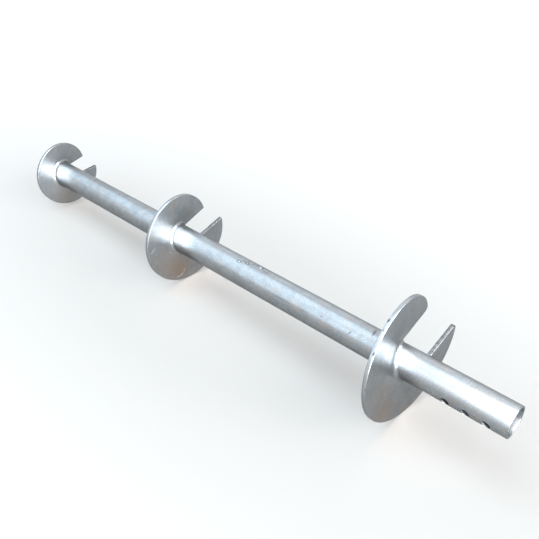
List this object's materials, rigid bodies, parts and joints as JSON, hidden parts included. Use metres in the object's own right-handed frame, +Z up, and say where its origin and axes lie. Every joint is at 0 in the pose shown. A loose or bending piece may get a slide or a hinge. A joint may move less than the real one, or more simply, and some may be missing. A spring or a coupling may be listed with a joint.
{
  "type": "helical pile",
  "caption": "Galvanised steel helical pile: a round shaft with helical bearing plates that is screwed into the ground to carry a foundation.",
  "frame": {"origin": "centre of the tube's bore at the square-cut head end", "axes": "+X towards the head, along the pile as it lies (the shaft is tilted about 1.9 degrees, its tip lower), +Z up; the pile lies on the rims of its large and middle plates"},
  "size_m": [1.7497, 0.3, 0.2989],
  "materials": {
    "galvanised_tube": "hot-dip galvanised, satin and softly mottled",
    "galvanised_plate": "hot-dip galvanised, satin, with bright rims and faint scratches",
    "galvanised_weld": "fillet weld bead, galvanised over, rippled"
  },
  "bodies": {
    "root": {"shaft_tube": "galvanised_tube", "large_helix_plate": "galvanised_plate", "large_plate_head_weld": "galvanised_weld", "large_plate_tip_weld": "galvanised_weld", "middle_helix_plate": "galvanised_plate", "middle_plate_head_weld": "galvanised_weld", "middle_plate_tip_weld": "galvanised_weld", "small_helix_plate": "galvanised_plate", "small_plate_head_weld": "galvanised_weld", "small_plate_tip_weld": "galvanised_weld"}
  },
  "joints": []
}
